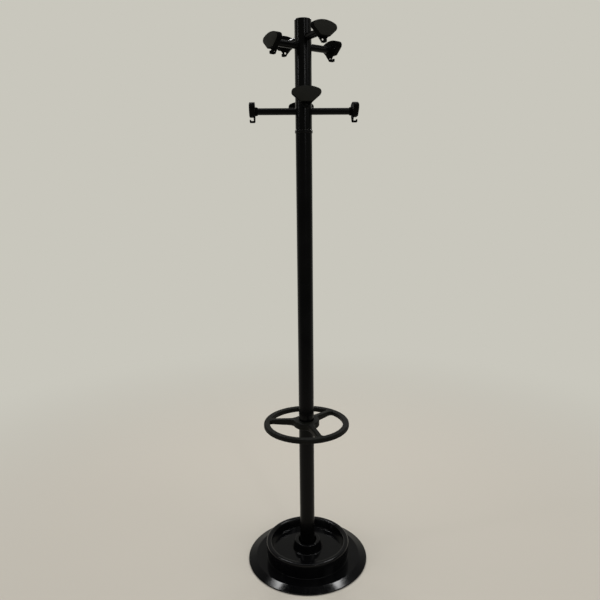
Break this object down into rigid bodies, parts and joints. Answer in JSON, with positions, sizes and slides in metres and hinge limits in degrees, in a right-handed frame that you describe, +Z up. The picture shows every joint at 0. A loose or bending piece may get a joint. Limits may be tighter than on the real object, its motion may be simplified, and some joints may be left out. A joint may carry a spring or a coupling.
{
  "type": "standing coat rack",
  "caption": "Standing coat rack: weighted round base with a drip tray, tube pole with a spoked umbrella ring, and a turning head of crossed arms with moulded hooks.",
  "frame": {"origin": "on the floor, on the pole's axis", "axes": "+Z up along the pole; -Y is the front of the stand; +X is its right, seen from the front"},
  "size_m": [0.41, 0.41, 1.7495],
  "materials": {
    "gloss_abs": "black ABS, moulded in a polished tool",
    "painted_tube": "black powder-coated steel tube, satin",
    "moulded_nylon": "black nylon, moulded with a fine spark-eroded grain",
    "ring_nylon": "black nylon, moulded with a fine grain",
    "collar_nylon": "black nylon, turned and moulded, satin",
    "painted_plate": "pressed steel sheet, thin black paint",
    "cast_iron": "sand-cast grey iron",
    "rubber": "black rubber, matt",
    "zinc_steel": "turned steel, bright zinc plated",
    "acetal": "natural acetal, turned"
  },
  "bodies": {
    "stand": {"base_cover": "gloss_abs", "bottom_plate": "painted_plate", "ballast": "cast_iron", "foot_pads": "rubber", "foot_bolt": "zinc_steel", "foot_washer": "zinc_steel", "foot_insert": "zinc_steel", "lower_tube": "painted_tube", "ring_socket_insert": "zinc_steel", "umbrella_ring": "ring_nylon", "ring_stud_insert": "zinc_steel", "middle_tube": "painted_tube", "mid_socket_insert": "zinc_steel", "mid_stud_insert": "zinc_steel", "upper_tube": "painted_tube", "swivel_collar": "collar_nylon", "swivel_washer": "zinc_steel", "swivel_screw": "zinc_steel"},
    "head": {"head_bush": "acetal", "head_tube": "painted_tube", "top_cap": "collar_nylon", "lower_side_arm": "painted_tube", "lower_front_arm": "painted_tube", "upper_left_arm": "painted_tube", "upper_right_arm": "painted_tube", "lower_hook_right": "moulded_nylon", "lower_hook_left": "moulded_nylon", "lower_hook_rear": "moulded_nylon", "lower_hook_front": "moulded_nylon", "upper_hook_rear_right": "moulded_nylon", "upper_hook_front_left": "moulded_nylon", "upper_hook_rear_left": "moulded_nylon", "upper_hook_front_right": "moulded_nylon"}
  },
  "joints": [
    {"name": "head_swivel", "type": "hinge", "parent": "stand", "child": "head", "pos_m": [0, 0, 1.4385], "axis": [0, 0, 1], "continuous": true}
  ]
}
